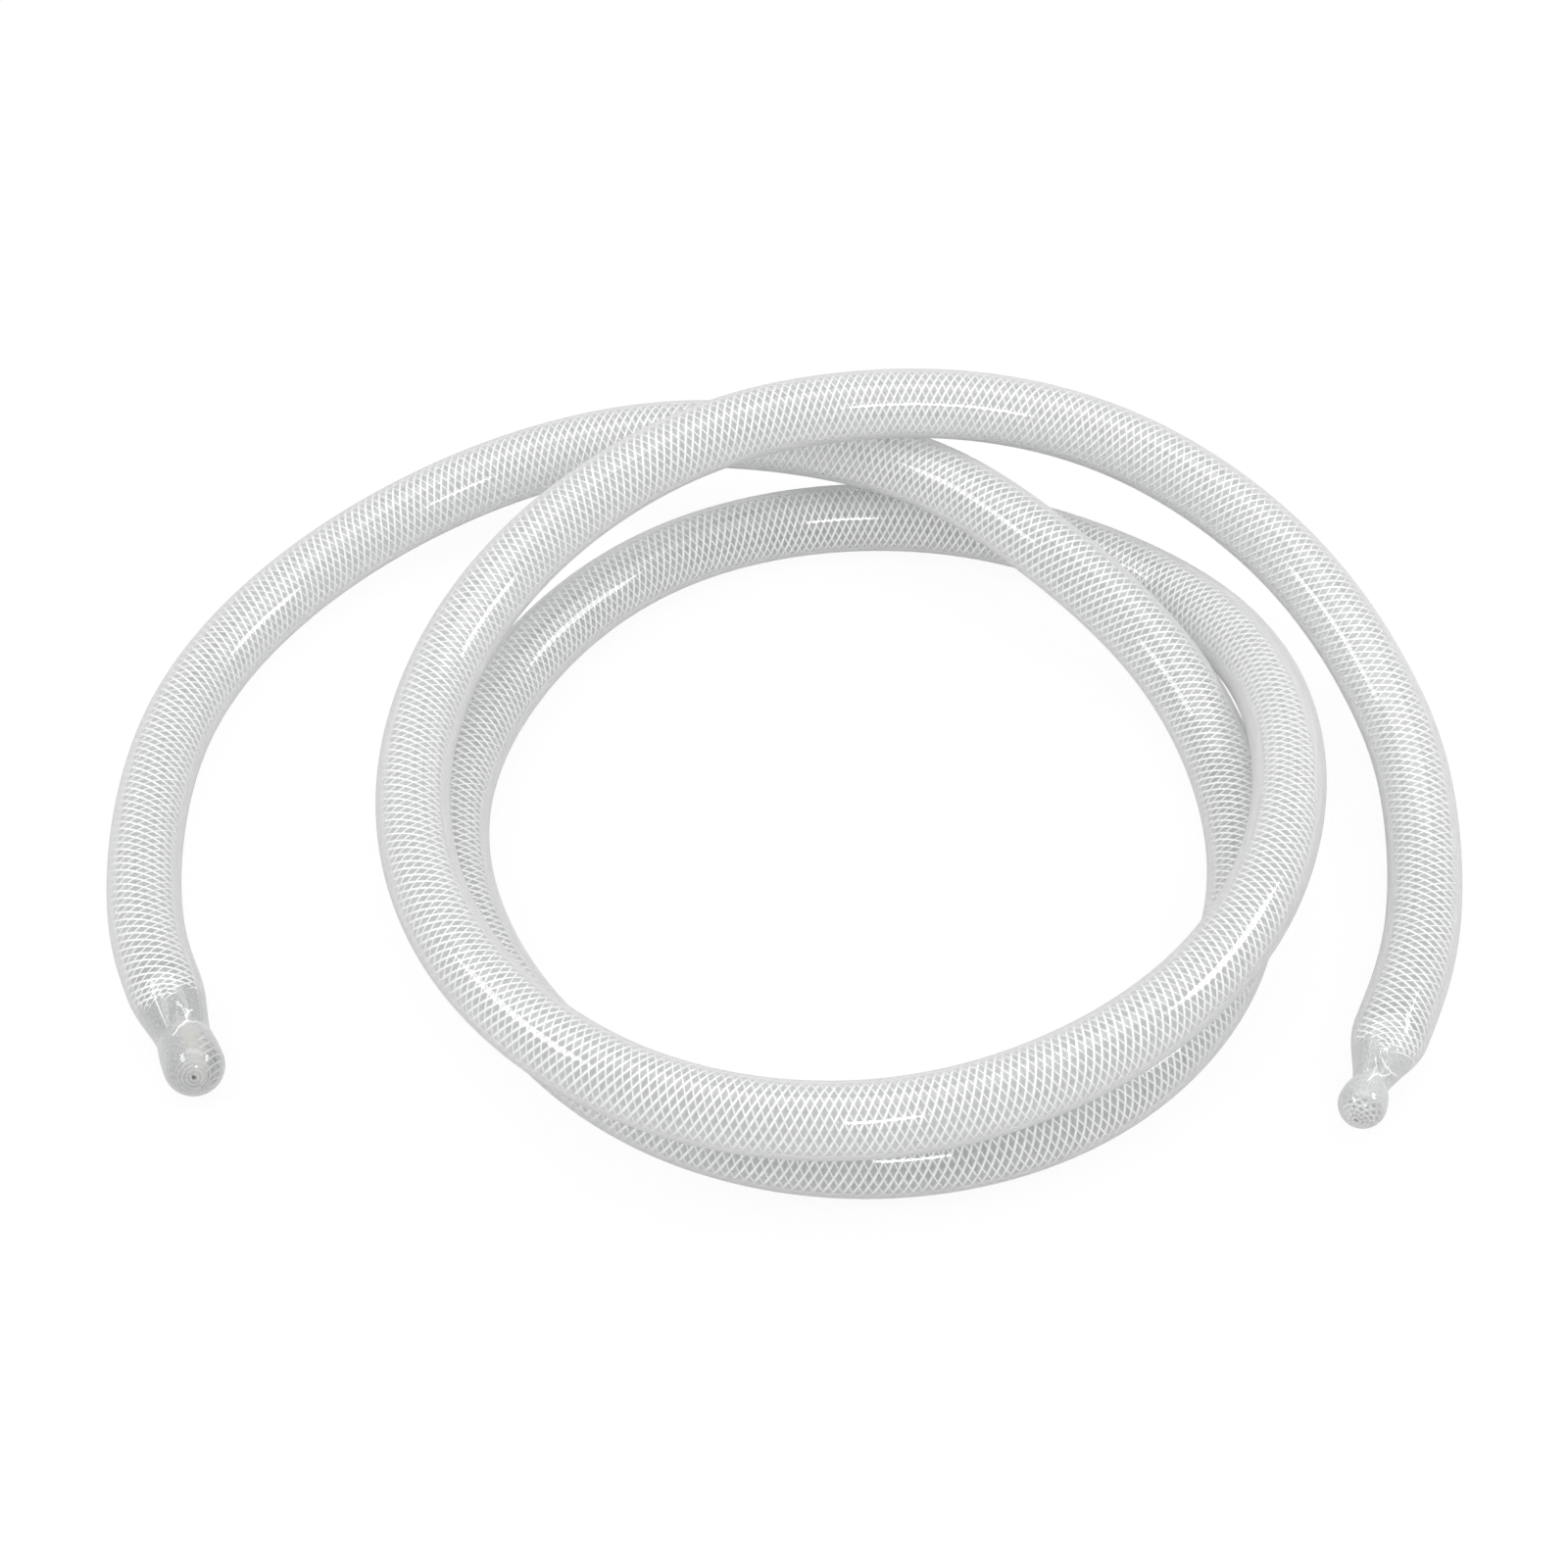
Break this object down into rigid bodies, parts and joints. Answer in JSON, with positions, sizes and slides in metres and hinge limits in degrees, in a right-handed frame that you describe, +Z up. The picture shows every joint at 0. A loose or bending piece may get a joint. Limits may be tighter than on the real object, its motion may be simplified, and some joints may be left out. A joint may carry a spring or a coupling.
{
  "type": "reinforced hose",
  "caption": "Clear braided hose lying in loose loops, each end squeezed to a neck and melted shut in a bulb; carries cooling water or wort once its ends are cut open.",
  "frame": {"origin": "middle of the coiled hose's box in plan, on the surface that it rests on", "axes": "+Z up; the sealed ends point to -Y; +X is to the right seen from the sealed ends' side"},
  "size_m": [0.6438, 0.4612, 0.1031],
  "materials": {
    "clear_liner": "clear, slightly milky soft PVC",
    "white_yarn": "bright white polyester yarn",
    "clear_jacket": "clear glossy soft PVC",
    "melted_end": "milky PVC melted together with its yarn"
  },
  "bodies": {
    "root": {"inner_tube": "clear_liner", "braid_sleeve": "white_yarn", "outer_jacket": "clear_jacket", "right_sealed_end": "melted_end", "left_sealed_end": "melted_end"}
  },
  "joints": []
}
